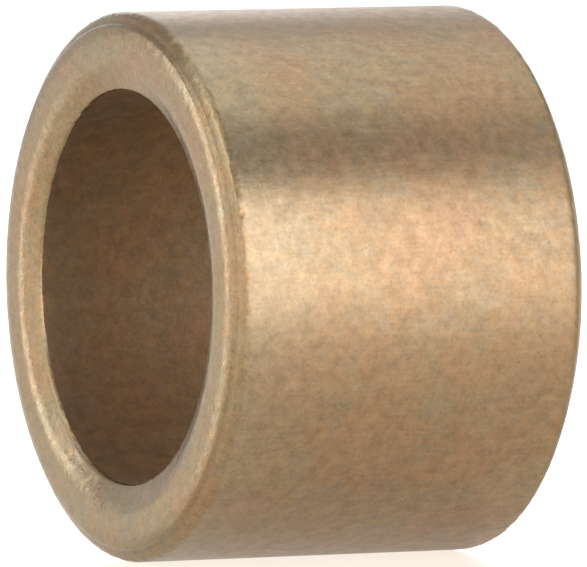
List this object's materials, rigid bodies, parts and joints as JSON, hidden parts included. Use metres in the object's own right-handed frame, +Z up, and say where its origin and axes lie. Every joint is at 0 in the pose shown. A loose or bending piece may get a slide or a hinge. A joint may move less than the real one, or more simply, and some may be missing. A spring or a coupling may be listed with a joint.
{
  "type": "sleeve bushing",
  "caption": "Plain sintered bronze sleeve bushing: a short thick-walled tube with chamfered ends and a shallow lead-in to the bore.",
  "frame": {"origin": "on the bore's axis, halfway along the bushing's length", "axes": "+X along the bore's axis, +Z up with the bushing lying on its side; the two ends are alike"},
  "size_m": [0.0158, 0.0222, 0.0222],
  "materials": {
    "sintered_bronze": "sized sintered bronze, satin with fine open pores and a thin oil film"
  },
  "bodies": {
    "root": {"sleeve_bushing": "sintered_bronze"}
  },
  "joints": []
}
